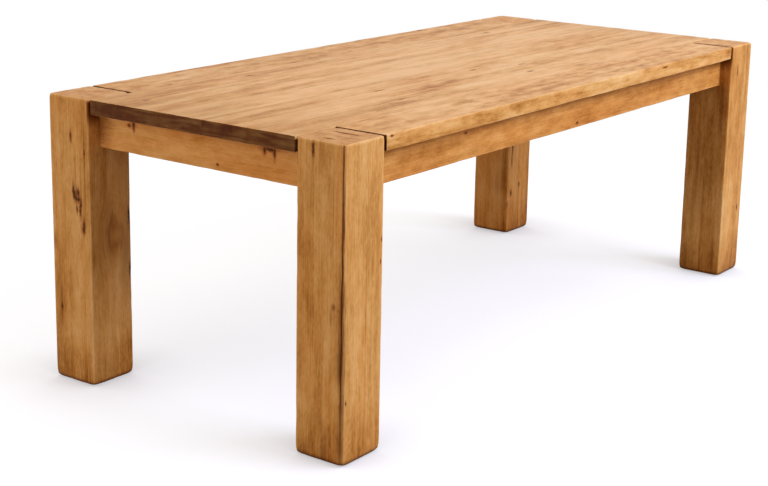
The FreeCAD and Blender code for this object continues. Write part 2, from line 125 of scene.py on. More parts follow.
# Dark streaks and stains, in the same measures, then their strength, and their direction where they don't run
# along the grain. Those on the aprons are painted shade under the top and beside a leg
STAINS_AND_SHADE = {
    "leg_front_left": [
        (-1052, -469, 600, 260, 6, 0.9), (-1052, -468, 250, 300, 10, 0.75), (-1052, -466, 330, 210, 11, 0.7),
        (-1052, -465, 241, 45, 14, 0.5), (-1052, -467, 84, 80, 13, 0.6), (-1050, -441, 600, 160, 1.6, 0.5),
        (-1050, -362, 10, 40, 14, 0.5), (-1050, -419, 20, 70, 12, 0.6), (-1050, -446, 352, 70, 4, 0.3),
        (-1050, -444, 377, 10, 8, 0.8), (-1050, -457, 371, 9, 5, 0.7), (-1050, -437, 352, 24, 5, 0.5),
        (-1050, -382, 700, 60, 3, 0.2), (-950, -396, 750, 38, 9, 0.6, ALONG_Y),
        (-1018, -402, 750, 10, 8, 0.5, ALONG_Y), (-985, -425, 750, 40, 5, 0.3, ALONG_Y),
    ],
    "leg_front_right": [
        (910, -379, 360, 140, 9, 0.5), (910, -451, 570, 130, 8, 0.5), (910, -434, 610, 70, 7, 0.4),
        (910, -355, 40, 60, 10, 0.4), (912, -405, 750, 80, 9, 0.8, ALONG_Y),
    ],
    "leg_back_left": [
        (-1050, 447, 210, 80, 5, 0.6), (-990, 335, 400, 110, 34, 0.4), (-930, 335, 330, 110, 22, 0.35),
        (-1050, 366, 515, 110, 4, 0.5), (-1050, 384, 560, 70, 4, 0.3), (-1050, 350, 560, 150, 2, 0.5),
        (-1050, 382, 504, 24, 16, 0.7), (-1050, 473, 450, 16, 5, 0.5), (-1050, 468, 366, 26, 11, 0.5),
        (-1050, 472, 300, 16, 6, 0.4), (-1050, 472, 50, 50, 8, 0.5), (-1000, 372, 750, 34, 12, 0.35, ALONG_Y),
        (-1032, 440, 750, 24, 9, 0.3, ALONG_Y), (-950, 400, 750, 20, 8, 0.3, ALONG_Y),
    ],
    "leg_back_right": [
        (933, 335, 330, 120, 6, 0.4), (930, 335, 262, 34, 9, 0.7), (984, 335, 166, 16, 10, 0.6),
        (911, 335, 106, 18, 7, 0.6), (910, 352, 200, 110, 14, 0.5), (910, 380, 170, 60, 14, 0.35),
    ],
    "edge_plank_front": [(901, -405, 750, 80, 6, 0.7, ALONG_Y)],
    # Painted shade: the end apron darker beside the back leg, over darker wood, and along its top under the
    # planks
    "apron_left_end": [(-1012, 335, 680, 52, 80, 0.8), (-1012, -100, 712, 300, 9, 0.1)],
    # Painted shade at the front apron's right end, under the top
    "apron_front": [(870, -437, 700, 90, 20, 0.35)],
}

# Both ends of the top are darker, the left one more
STAINS_AND_SHADE |= {node: [(-1048, 0, 750, 300, 1000, 0.24), (1048, 0, 750, 200, 1000, 0.12)] for node in TOP_PLANKS}

# Coats over spots: in half sizes, how far they are full and where they are gone; and their greatest share
STAIN_REACH = (0.2, 1.1)
RESIN_COAT, STREAK_COAT = (0.9, 2.6, 0.9), (0.1, 1.1, 0.5)
KNOT_COAT, EYE_COAT = (0.6, 1.3, 0.95), (0.0, 0.4, 0.55)

# In half sizes: how ragged fibres and grit make an outline, where a healed knot's ring lies, and how far the
# figure pulls it in
STREAKY, ROUGH, EYE_RING, EYE_SWIRL = 1.8, 2.6, 2.2, 2.6

# Seams of the staves that a post is glued up from, as x and y in mm
STAVES = {
    "leg_front_left": (-968, -441), "leg_front_right": (1008, -403),
    "leg_back_right": (955, 428), "leg_back_left": (-990, 358),
}

# Drying checks, as outward direction of the face, start, end, half width and depth in mm
UP, LEFT, FRONT = (0, 0, 1), (-1, 0, 0), (0, -1, 0)
CHECKS = {
    "leg_front_left": [
        (UP, (-947, -355, 750), (-951, -430, 750), 4, 9), (UP, (-1019, -385, 750), (-1016, -415, 750), 3, 5),
        (LEFT, (-1050, -468, 840), (-1050, -466, 20), 2.2, 2),
    ],
    "leg_front_right": [(FRONT, (1000, -475, 756), (1001, -475, 690), 0.9, 1.4)],
    "leg_back_left": [(LEFT, (-1050, 351, 700), (-1050, 353, 430), 0.9, 1.2)],
}

# Grid lines across a check, in half widths from its middle
CHECK_GRID = np.array([-2, -1.5, -1.1, -0.75, -0.4, 0, 0.4, 0.75, 1.1, 1.5, 2])

# Reach and depth in mm to which the corners round the top and the foot of a leg are knocked round
TOP_KNOCK, FOOT_KNOCK = (6, 2.0), (11, 3.0)

# Share of the sawn ends' darkening that shows on the tops of legs
LEG_TOPS = {"leg_front_left": 0.2, "leg_back_left": 0.12}

# Boards tinted warmer with painted shade, as if lit by warm light bounced under the table
WARM_SHADED_BOARDS = SIDE_APRONS + END_APRONS + ["leg_back_right"]

# Legs whose slot wall is painted dark with shade right up to the top
SHADED_SLOTS = ["leg_front_right"]

# Depth in mm at which a check is fully dark with dirt and painted shade, and how dark joints, plank ends
# and the rims of slots are. The ends of the edge planks are end grain with painted shade from their slots,
# and the slot rims are painted shade
CHECK_DARK, JOINT_DARK, PLANK_END_DARK, RIM_SHADE = 1.6, 0.4, 0.7, 0.35

# Depths in mm below the top where slots begin, and where their painted shade and their rims are gone and full
SLOT_FROM, SLOT_FADE, RIM_FADE = 5, (80, 38), (9, 4)

# How far a face turns to a plank's end or up where it starts to count, and where it fully does
TO_END, TO_SKY = (0.2, 0.6), (0.5, 0.95)

# Shades of the four woods, from light to dark
PALE_SHADE, HONEY_SHADE, AMBER_SHADE, UMBER_SHADE = 0.1, 0.42, 0.72, 1.0

# How strongly the layers of grain show on each kind of board: rings, fibres, flecks, bands, figure and clouds
POST_GRAIN = (0.1, 0.36, 0.42, 0.5, 0.55, 0.8)
TOP_GRAIN = (0.15, 0.36, 0.38, 1.15, 0.65, 1.15)
EDGE_GRAIN = (0.12, 0.45, 0.42, 0.8, 1.1, 0.7)
APRON_GRAIN = (0.06, 0.26, 0.34, 0.36, 0.75, 0.55)

# What each layer is on average, so that it darkens as much as it lightens
LAYER_MEANS = (0.3, 0.5, 0.5, 0.5, 0.5, 0.5)

# How much a leg darkens towards its foot, and what rubbing takes from the edges of legs, where it is also a
# painted highlight, and of other boards
FOOT_DARKENING, LEG_RUBBED_AND_HIGHLIT, BOARD_RUBBED = 0.3, -0.24, -0.1

# How much darker than usual a board is
TONES = {
    "leg_front_right": 0.08, "leg_back_right": -0.03, "apron_front": 0.06, "apron_left_end": -0.17,
    "top_plank_1": -0.07, "top_plank_2": -0.09, "top_plank_3": -0.08, "top_plank_4": -0.15,
    "top_plank_5": -0.17, "top_plank_6": -0.09, "top_plank_7": -0.07,
}

# Darkness through a year's growth: start, end, and two places between
YEAR = ((0.0, 0.15), (1.0, 0.1), (0.45, 0.3), (0.85, 1.0))

# Place, width and height in metres and colour of each lamp, and the point that both are turned to
LAMPS = {
    "key_lamp": ((1.3, -4.5, 3.6), 4.0, 3.0, "#EAF3FF"),
    "fill_lamp": ((-4.2, 0.6, 1.3), 2.5, 2.0, "#FFF6EC"),
}
LAMP_AIM = (0, 0, 0.4)


def linear(hex_colour):
    """Turns an sRGB hex colour into the linear triple that shaders take."""
    srgb = np.array([int(hex_colour[i:i + 2], 16) for i in (1, 3, 5)]) / 255
    return tuple(np.where(srgb <= 0.04045, srgb / 12.92, ((srgb + 0.055) / 1.055) ** 2.4))


def number(name, description, default, subtype, unit="NONE", **limits):
    """A setting for one number."""
    return FloatProperty(
        name=name, description=description, default=default, subtype=subtype, unit=unit, **limits)


def factor(name, description, default):
    """A setting for a share."""
    return number(name, description, default, "FACTOR", min=0, max=1)


def lengths(name, description, *mm):
    """A setting for a length in mm, or for several that belong together."""
    default = [length * MM for length in mm]
    if len(mm) == 1:
        return number(name, description, *default, "DISTANCE", "LENGTH")
    return FloatVectorProperty(
        name=name, description=description, size=len(mm), default=default, subtype="XYZ", unit="LENGTH")


def tint(name, description, hex_colour):
    """A setting for a colour."""
    return FloatVectorProperty(
        name=name, description=description, default=linear(hex_colour), subtype="COLOR")


class BoardShape(bpy.types.PropertyGroup):
    """How the boards were cut, eased and worn."""

    grid_step: lengths("Grid step", "Distance between the grid lines on a flat face", 6)
    post_arris: lengths("Post arris", "Radius of the upright edges of a leg", 4.5)
    post_top_arris: lengths("Post top arris", "Radius of the edges round the top of a leg", 2.5)
    post_foot_arris: lengths("Foot arris", "Radius of the edges round the foot of a leg", 7)
    plank_arris: lengths("Plank arris", "Radius of the outer edges of the top", 2.5)
    apron_arris: lengths("Apron arris", "Radius of the edges of the aprons", 2)
    wave_depth: lengths("Wave depth", "How far a face dips between its high places", 0.3)
    wave_length: lengths("Wave length", "Distance over which a face rises and dips along the grain", 260)
    nick_depth: lengths("Nick depth", "Depth of the worn places along the edges", 0.8)
    nick_spacing: lengths("Nick spacing", "Distance between the worn places along the edges", 24)
    rubbed_width: lengths("Rubbed width", "How far from an edge the wood is rubbed pale", 4)
    joint_line: lengths("Joint line", "Width of the dark line on each side of a glued joint", 1.2)


class PineFinish(bpy.types.PropertyGroup):
    """Colours and grain of the oiled pine."""

    pale: tint("Pale wood", "Early wood between the rings", "#E8BB83")
    honey: tint("Honey wood", "The usual tone of a face", "#D39C5B")
    amber: tint("Amber wood", "Late wood and resin streaks", "#AE7333")
    umber: tint("Umber wood", "The darkest streaks", "#6B3E14")
    ruddy: tint("Ruddy tint", "Tint of the redder staves", "#FFF4E6")
    resin: tint("Resin tint", "Tint of the wood round a knot", "#C39E7A")
    stain_and_shade: tint("Stain tint", "Tint of dark streaks and open checks", "#977854")
    # Also the tint of painted shade under the top, in slots, at plank ends and under the feet
    knot: tint("Knot", "Dead knots and bark pockets", "#4E2804")
    sawn_end: tint("Sawn end", "Tint of plank ends that drank up the oil", "#96897B")
    # Painted shade: a warmer tint on the aprons and the back right leg, for the bounced light under the table
    warm_shade_tint: tint("Unbleached tint", "Tint of boards that the light has not bleached", "#FFF2E0")
    # Also a painted sheen: the top is paled as a satin reflection at a low angle would pale it
    wiped_and_painted_sheen: tint("Scrubbed wood", "Dry wood of a top that is often wiped", "#E8C09B")
    ring_spacing: lengths("Ring spacing", "Width of one year's growth", 6)
    # Real fibres are finer than a pixel, so streaks and flecks are drawn as coarse as they need to show
    fibre_size: lengths("Fibres", "Length and width of the fine streaks", 70, 3.5)
    fleck_size: lengths("Flecks", "Length and width of the short flecks", 14, 4.5)
    band_size: lengths("Bands", "Length and width of the broad streaks", 480, 16)
    plank_band_size: lengths("Plank bands", "Length and width of the broad streaks on the top", 700, 30)
    figure_size: lengths("Figure", "Length and width of the soft mottling", 60, 24)
    cloud_size: lengths("Clouds", "Length and width of the slow tone changes", 420, 75)
    sway_size: lengths("Sway", "Length and width of the bends in the grain", 500, 60)
    sway_reach: lengths("Sway reach", "How far the grain bends aside", 24)
    grit_size: lengths("Grit", "Size of the ragged places round knots and stains", 8)
    soak_size: lengths("Soak", "Extent of the patches where sawn ends drank more oil", 10, 80, 9)
    # A leg darkens towards its foot over this height
    foot_darkening_height: lengths("Foot soil", "Height to which the feet are soiled", 130)
    roughness: factor("Roughness", "Sheen of the rubbed oil", 0.5)


class HardwareFinish(bpy.types.PropertyGroup):
    """Colours and grain of the zinc-plated steel and the nylon."""

    dull_zinc: tint("Dull zinc", "Darker patches of the plating", "#A9ADB0")
    bright_zinc: tint("Bright zinc", "Paler patches of the plating", "#C6C9CA")
    mottle_size: lengths("Mottle", "Width of the patches in the plating", 6)
    dark_nylon: tint("Dark nylon", "Hollows of the moulded grain", "#2A2623")
    pale_nylon: tint("Pale nylon", "High places of the moulded grain", "#38332F")
    # A spark-finished mould leaves a grain of about 0.1 mm, which is drawn as coarse as it needs to show
    nylon_grain: lengths("Nylon grain", "Width of the moulded grain", 0.8)


class Studio(bpy.types.PropertyGroup):
    """Camera, lamps and floor."""

    camera_place: lengths("Camera", "Where the camera stands", -3678.6, -2527.4, 1463.0)
    camera_azimuth: number(
        "Azimuth", "Heading of the view from the long axis", math.radians(36.575), "ANGLE", "ROTATION")
    camera_elevation: number(
        "Elevation", "How far the view looks down", math.radians(12.942), "ANGLE", "ROTATION")
    camera_roll: number(
        "Roll", "Tilt of the view about its own axis", math.radians(-1.037), "ANGLE", "ROTATION")
    focal_pixels: number("Focal length", "Focal length in pixels of the photograph", 1579, "PIXEL")
    axis_row: number("Axis row", "Row of the photograph that the optical axis passes through", 170, "PIXEL")
    floor_reach: lengths("Floor reach", "Half the side of the floor", 40000)
    floor_colour: tint("Floor", "Painted floor", "#A9A9B8")
    floor_bounce: tint("Floor bounce", "What the floor throws back onto the table", "#857660")
    floor_glow: factor("Floor glow", "White that the floor adds for the camera", 0.78)
    contact_reach: lengths("Contact reach", "How far from a foot the floor's own white is dimmed", 220)
    contact_white: factor("Contact white", "Share of the floor's white left at the foot of a leg", 0.78)
    shade_reach: lengths("Shade reach", "How far above the floor the table still shades it", 900)
    shade_white: factor("Shade white", "Share of the floor's white left under the middle of the table", 0.77)
    floor_clear: lengths("Clear floor", "How far out the floor starts and ends turning white", 1600, 3200)
    sky: factor("Sky", "Strength of the even light from all round", 0.605)
    sky_colour: tint("Sky colour", "Light thrown back by a warm room", "#FFF2E0")
    key_power: number("Key lamp", "Power of the lamp at the front right", 292, "POWER", "POWER")
    fill_power: number("Fill lamp", "Power of the lamp at the left", 30, "POWER", "POWER")


def stretch(axis, along, across):
    """A vector with one length along the grain and another across it."""
    vector = [across] * 3
    vector[axis] = along
    return vector


def ripple(points, wave_length, seed, waves=7, shortest=0.6, longest=1.7, gain=1.8):
    """A smooth random field from -1 to 1: the mean of sine waves of seeded headings, lengths and phases,
    raised by a gain and cut off at both ends."""
    draw = np.random.default_rng(seed)
    headings = draw.normal(size=(waves, 3))
    headings /= np.linalg.norm(headings, axis=1, keepdims=True)
    pitch = 2 * np.pi / (wave_length * draw.uniform(shortest, longest, waves))
    phase = draw.uniform(0, 2 * np.pi, waves)
    return np.clip(np.sin(points @ (headings * pitch[:, None]).T + phase).mean(axis=1) * gain, -1, 1)


def smooth(value, start, end):
    """Rises from 0 at start to 1 at end along a cubic with level ends. The start may be above the end."""
    share = np.clip((value - start) / (end - start), 0, 1)
    return share * share * (3 - 2 * share)


def grid_lines(low, high, step, low_radius, high_radius, extra=()):
    """Grid lines along one axis of a board: even steps on the flat, and at each eased edge lines at
    radius * (1 - tan(angle)) from it, which lie at even angles once they are pulled onto the round."""
    angles = np.radians([45, 36, 27, 18, 9])
    count = max(2, round((high - low) / step))
    flat = np.linspace(low + low_radius, high - high_radius, count + 1)
    lines = np.concatenate([
        low + low_radius * (1 - np.tan(angles)), flat, high - high_radius * (1 - np.tan(angles)), extra])
    return np.unique(np.round(lines, 7))


def box_skin(lines):
    """The skin of a box as one closed grid: the crossings of the grid lines on its six faces, with those on a
    shared edge taken once. Returns points and quads that face outwards."""
    crossings = np.stack(np.meshgrid(*lines, indexing="ij"), axis=-1)
    index = np.arange(crossings[..., 0].size).reshape(crossings.shape[:3])
    quads = []
    for axis in range(3):
        for end, turn in ((0, -1), (-1, 1)):
            face = index.transpose(axis, (axis + 1) % 3, (axis + 2) % 3)[end]
            corners = np.stack([face[:-1, :-1], face[1:, :-1], face[1:, 1:], face[:-1, 1:]], axis=-1)
            quads.append(corners.reshape(-1, 4)[:, ::turn])
    used, quads = np.unique(np.concatenate(quads), return_inverse=True)
    return crossings.reshape(-1, 3)[used], quads.reshape(-1, 4)


def eased(points, low, high, low_radius, high_radius):
    """Pulls the points of a box's skin onto eased edges: each point is split into the nearest point of the
    box shrunk by the radii and the offset from it, and the offset is cut back to an ellipsoid of those radii.
    A radius of zero leaves a face's edges sharp. Returns the new points and their outward directions."""
    radius = np.where(points < (low + high) / 2, low_radius, high_radius)
    inner = np.clip(points, low + low_radius, high - high_radius)
    share = np.divide(points - inner, radius, out=np.zeros_like(points), where=radius > 0)
    pull = np.maximum(np.linalg.norm(share, axis=1, keepdims=True), 1)
    outward = np.divide(share, radius, out=np.zeros_like(points), where=radius > 0)
    size = np.linalg.norm(outward, axis=1, keepdims=True)
    return inner + radius * share / pull, np.divide(outward, size, out=np.zeros_like(points), where=size > 0)


def edge_nearness(points, low, high, low_radius, high_radius, reach):
    """1 on an eased edge, falling to 0 within reach: a bell over the second smallest distance to the box's
    eased faces."""
    to_low = np.where(low_radius > 0, points - low, FAR)
    to_high = np.where(high_radius > 0, high - points, FAR)
    second = np.sort(np.minimum(to_low, to_high), axis=1)[:, 1]
    return np.exp(-(second / reach) ** 2)


def check_depth(points, outward, check, wander=0.5, swing=60 * MM, core=0.3, ends=0.35, facing=0.9):
    """Depth of a drying check: a wedge along a line that wanders over each swing, with an open core, deepest
    in its middle and closing towards narrow ends. Only the face that it opens on is cut."""
    normal = np.array(check[0], float)
    start, end, half_width, depth = (np.array(measure) * MM for measure in check[1:])
    length = np.linalg.norm(end - start)
    run = (end - start) / length
    offset = points - start
    along = offset @ run / length
    aside = wander * half_width * ripple(np.outer(along * length, run), swing, CHECK_SEED)
    across = np.abs(offset @ np.cross(normal, run) + aside)
    taper = np.sqrt(np.clip(1 - (2 * along - 1) ** 2, 0, 1))
    open_share = 1 - smooth(across, core * half_width, half_width * (ends + (1 - ends) * taper))
    return depth * taper * open_share * (outward @ normal > facing)


def check_lines(node):
    """Grid lines close to each drying check, so that the grid can follow it: an array for each axis that is
    neither the check's own nor its face's."""
    lines = {}
    for normal, start, end, half_width, _ in CHECKS.get(node, ()):
        taken = np.abs(normal) * FAR + np.abs(np.subtract(end, start))
        across = int(np.argmin(taken))
        near = ((start[across] + end[across]) / 2 + half_width * CHECK_GRID) * MM
        lines[across] = np.concatenate([lines.get(across, []), near])
    return lines


def knot_hollow(points, axis, knot, sink=0.12):
    """Depth of the hollow where a knot has shrunk: a bell over the knot's ellipse."""
    place = np.array(knot[:3]) * MM
    half = np.array(stretch(axis, knot[3], knot[4])) * MM
    return sink * knot[4] * MM * np.exp(-np.sum(((points - place) / half) ** 2, axis=1))


def wear_depth(node, axis, points, nearness, drawn_out=4, nicked=(0.15, 0.9)):
    """How far a board's skin has sunk: slow waves along the grain, nicks along its edges wherever a second
    field is high, and the hollows of its knots."""
    shape = bpy.context.scene.board_shape
    grained = points / stretch(axis, drawn_out, 1)
    depth = shape.wave_depth * (0.5 + 0.5 * ripple(grained, shape.wave_length / drawn_out, WAVE_SEED))
    nicks = ripple(grained, shape.nick_spacing, NICK_SEED + WOODEN.index(node))
    depth += shape.nick_depth * nearness * smooth(nicks, *nicked)
    for knot in KNOTS.get(node, ()):
        depth += knot_hollow(points, axis, knot)
    return depth


def corner_loss(points, low, high):
    """How far the corners of a leg are knocked round: a bell over the distance to the nearest corner."""
    at_foot = points[:, ALONG_Z] < high[ALONG_Z] / 2
    reach, loss = np.where(at_foot, *np.array([FOOT_KNOCK, TOP_KNOCK])[..., None]) * MM
    away = np.linalg.norm(np.minimum(points - low, high - points), axis=1)
    return loss * np.exp(-(away / reach) ** 2)


def slot_walls(outward, low, high, turned=(0.02, 0.3)):
    """How far the skin of a leg faces the middle of the table, along X, Y and Z."""
    return smooth(-np.sign(low + high) * outward, *turned)


def below_top(points):
    """Depth below the top of the table in mm."""
    return (CAD_BOX[1][ALONG_Z] - points[:, ALONG_Z]) / MM


def dark_places(node, points, outward, low, high, checked, joint, foot_shade_heights=(10, 4)):
    """1 where the wood is darkened: with dirt and painted shade in checks, beside glued joints, at the ends
    of the edge planks, whose end grain gets painted shade from the slots, with painted shade under the feet,
    and with painted shade on the walls and rims of a leg's slots. The darkest of these counts."""
    dark = np.maximum(np.minimum(checked / (CHECK_DARK * MM), 1), JOINT_DARK * joint.any(axis=1))
    if node in EDGE_PLANKS:
        dark = np.maximum(dark, PLANK_END_DARK * smooth(np.abs(outward[:, ALONG_X]), *TO_END))
    if node in LEGS:
        deep = below_top(points)
        wall = slot_walls(outward, low, high)
        fading = smooth(deep, *SLOT_FADE)
        # Painted shade on the walls of the slots, from a little under the top to below the planks
        slot_shade = wall[:, :2].max(axis=1) * fading * (deep > SLOT_FROM)
        if node in SHADED_SLOTS:
            slot_shade = np.maximum(slot_shade, wall[:, ALONG_X] * fading)
        rim = RIM_SHADE * wall[:, ALONG_Y] * smooth(deep, *RIM_FADE)
        # Painted shade under the foot
        foot_shade = smooth((points[:, ALONG_Z] - low[ALONG_Z]) / MM, *foot_shade_heights)
        dark = np.maximum.reduce([dark, slot_shade, rim, foot_shade])
    return dark


def pale_places(node, points, outward, low, high, beside_leg, left_end_reach=(650, 1000), loss=0.6):
    """1 where the wood is paled: all over the top by wiping and a painted sheen, less towards its left end,
    and on the upper rims of the slots that run along the planks, where the paling is painted light."""
    deep = below_top(points)
    kept = 1 - loss * smooth(-points[:, ALONG_X] / MM, *left_end_reach)
    wiped_and_sheen_share = smooth(outward[:, ALONG_Z], *TO_SKY) * (deep < SLOT_FROM) * kept
    # Slot rims are painted lighter; the top is paled by wiping and a painted sheen
    if node in LEGS:
        at_slot = slot_walls(outward, low, high)[:, ALONG_Y] > 0
    else:
        at_slot = beside_leg[:, 0] & (np.abs(outward[:, ALONG_Y]) > TO_END[0])
    return np.where(at_slot, smooth(deep, *RIM_FADE), wiped_and_sheen_share)


def dress(piece, material):
    """Gives a piece one material instead of any that it had."""
    piece.data.materials.clear()
    piece.data.materials.append(material)


def worn_piece(name, points, quads, marks, sharp=math.radians(50)):
    """A smooth mesh with sharp steep edges, and marks on its points or faces that its material reads."""
    mesh = bpy.data.meshes.new(name)
    mesh.from_pydata(points.tolist(), [], quads.tolist())
    mesh.shade_smooth()
    mesh.set_sharp_from_angle(angle=sharp)
    for mark, (domain, values) in marks.items():
        mesh.attributes.new(mark, "FLOAT", domain).data.foreach_set("value", values.astype(np.float32))
    piece = bpy.data.objects.new(name, mesh)
    bpy.context.scene.collection.objects.link(piece)
    return piece


def make_board(node, axis, low_radii, high_radii, material, step=0.5 * MM, sawn_from=6 * MM):
    """A worn board in the place of a frame node: an eased box whose faces dip in slow waves, whose edges
    are nicked, and whose knots and checks are sunk. The outer planks turn eased over a short step where they
    pass a leg, and their sawn sides show there. All wear goes inwards from the sawn size."""
    shape = bpy.context.scene.board_shape
    low, high = (np.array(corner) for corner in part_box(node))
    low_radius, high_radius = np.array(low_radii, float), np.array(high_radii, float)
    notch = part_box(EDGE_PLANKS[0])[1][ALONG_X]
    extra = check_lines(node)
    free_low, free_high = low_radius.copy(), high_radius.copy()
    if node in (TOP_PLANKS[0], TOP_PLANKS[-1]):
        (free_low if node == TOP_PLANKS[0] else free_high)[ALONG_Y] = shape.plank_arris
        extra[ALONG_X] = np.outer([-1, 1], [notch, notch + step]).ravel()
    if node in EDGE_PLANKS + TOP_PLANKS:
        extra[ALONG_Y] = np.array([low[ALONG_Y] + shape.joint_line, high[ALONG_Y] - shape.joint_line])
    points, quads = box_skin([
        grid_lines(low[k], high[k], shape.grid_step, free_low[k], free_high[k], extra.get(k, ()))
        for k in range(3)])

    nearness = edge_nearness(points, low, high, low_radius, high_radius, shape.rubbed_width)
    middles = points[quads].mean(axis=1)
    on_face = (np.abs(middles - low) < TOUCH) | (np.abs(middles - high) < TOUCH)
    glued = np.any(on_face & (low_radius == 0) & (high_radius == 0), axis=1)
    end_grain = on_face[:, axis] | (glued & (middles[:, ALONG_Z] < high[ALONG_Z] - sawn_from))
    beside_leg = np.abs(points[:, :1]) > notch
    joint = (np.where(beside_leg, free_low, low_radius) == 0) & (points - low < TOUCH)
    joint |= (np.where(beside_leg, free_high, high_radius) == 0) & (high - points < TOUCH)

    between = eased(points, low, high, low_radius, high_radius)
    free = eased(points, low, high, free_low, free_high)
    points, outward = (np.where(beside_leg, *pair) for pair in zip(free, between))
    depth = wear_depth(node, axis, points, nearness)
    if node in LEGS:
        depth += corner_loss(points, low, high)
    checked = np.zeros(len(points))
    for check in CHECKS.get(node, ()):
        checked = np.maximum(checked, check_depth(points, outward, check))
    points -= outward * (depth + checked)[:, None]

    piece = worn_piece(node + "_worn", points, quads, {
        "arris": ("POINT", nearness),
        "dirt_and_painted_shade": ("POINT", dark_places(node, points, outward, low, high, checked, joint)),
        "wiped_and_painted_sheen": ("POINT", pale_places(node, points, outward, low, high, beside_leg)),
        "end_grain": ("FACE", end_grain),
    })
    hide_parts(node)
    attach(piece, "root")
    dress(piece, material)


def add(tree, kind, links=None, stops=(), **settings):
    """Adds one shader node: its settings, its colour stops, and its inputs set or linked."""
    node = tree.nodes.new("ShaderNode" + kind)
    for name, value in settings.items():
        setattr(node, name, value)
    for index, (position, colour) in enumerate(stops):
        elements = node.color_ramp.elements
        stop = elements[index] if index < 2 else elements.new(position)
        stop.position = position
        stop.color = (*colour, 1) if isinstance(colour, tuple) else (colour, colour, colour, 1)
    for socket, value in (links or {}).items():
        if isinstance(value, bpy.types.Node):
            value = value.outputs[0]
        if isinstance(value, bpy.types.NodeSocket):
            tree.links.new(value, node.inputs[socket])
        else:
            node.inputs[socket].default_value = value
    return node


def new_material(name):
    """An empty node material, and its tree to fill."""
    material = bpy.data.materials.new(name)
    material.use_nodes = True
    material.node_tree.nodes.clear()
    return material, material.node_tree


def grain_layer(tree, place, axis, size, shift, detail=2.0):
    """One layer of grain: noise in patches of a real length along the fibres and width across them."""
    patches = add(tree, "Mapping", {
        "Vector": place, "Scale": stretch(axis, size[0], size[-1])}, vector_type="TEXTURE")
    return add(tree, "TexNoise", {
        "Vector": patches, "W": shift, "Scale": 1.0, "Detail": detail}, noise_dimensions="4D")


def spot(tree, place, axis, measures):
    """Offset from a spot's centre in half sizes, its length, which is 1 on the outline, and those sizes."""
    half = np.array(stretch(axis, measures[3], measures[4])) * MM
    offset = add(tree, "Mapping", {
        "Vector": place, "Location": np.array(measures[:3]) * MM, "Scale": half}, vector_type="TEXTURE")
    return offset, add(tree, "VectorMath", {0: offset}, operation="LENGTH").outputs["Value"], half


def stave_shift(tree, place, node, steps=(3.3, 7.1)):
    """The board's number, which grows by a step beyond each seam of a glued post."""
    shift = float(WOODEN.index(node))
    if node not in STAVES:
        return shift
    parts = add(tree, "SeparateXYZ", {0: place})
    for part, seam, step in zip(parts.outputs, STAVES[node], steps):
        beyond = add(tree, "Math", {0: part, 1: seam * MM}, operation="GREATER_THAN")
        shift = add(tree, "Math", {0: beyond, 1: step, 2: shift}, operation="MULTIPLY_ADD")
    return shift


def flow_round_knots(tree, place, flow, node, axis, reach=(0.5, 3.5), push=0.8, drawn_out=(5, 0.8)):
    """Pushes the grain aside round each knot and healed knot, less and less over the reach. Returns the bent
    place, and the distances in half sizes to the nearest knot, eye and streak drawn out of a knot."""
    nearest = {}
    for kind, spots in (("knot", KNOTS), ("eye", EYES)):
        for measures in spots.get(node, ()):
            offset, distance, half = spot(tree, place, axis, measures)
            fading = add(tree, "MapRange", {
                "Value": distance, "From Min": reach[0], "From Max": reach[1], "To Min": 1.0, "To Max": 0.0},
                interpolation_type="SMOOTHSTEP")
            pushed = add(tree, "VectorMath", {0: offset, "Scale": fading}, operation="SCALE")
            flow = add(tree, "VectorMath", {0: pushed, 1: -push * half, 2: flow}, operation="MULTIPLY_ADD")
            found = {kind: distance}
            if kind == "knot":
                streak = (*measures[:3], *np.multiply(measures[3:], drawn_out))
                found["streak"] = spot(tree, place, axis, streak)[1]
            for name, length in found.items():
                nearest[name] = length if name not in nearest else add(
                    tree, "Math", {0: nearest[name], 1: length}, operation="MINIMUM")
    return flow, nearest


def growth_rings(tree, flow, node, axis, away=(0.05, 0.16), lean=0.02):
    """Rings as shells round a pith line, away from the board's middle in metres and with a lean in radians:
    the distance from the line in years of growth, whose fraction runs from early wood to dark late wood."""
    draw = np.random.default_rng(RING_SEED + WOODEN.index(node))
    low, high = (np.array(corner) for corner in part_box(node))
    side = draw.uniform(0, 2 * np.pi)
    pith = (low + high) / 2 + np.roll([0, np.cos(side), np.sin(side)], axis) * draw.uniform(*away)
    tilt = np.roll([0, *draw.uniform(-lean, lean, 2)], axis)
    shells = add(tree, "Mapping", {
        "Vector": flow, "Location": pith, "Rotation": tilt,
        "Scale": stretch(axis, FAR, bpy.context.scene.pine_finish.ring_spacing)}, vector_type="TEXTURE")
    years = add(tree, "VectorMath", {0: shells}, operation="LENGTH").outputs["Value"]
    return add(tree, "ValToRGB", {0: add(tree, "Math", {0: years}, operation="FRACT")}, stops=YEAR)


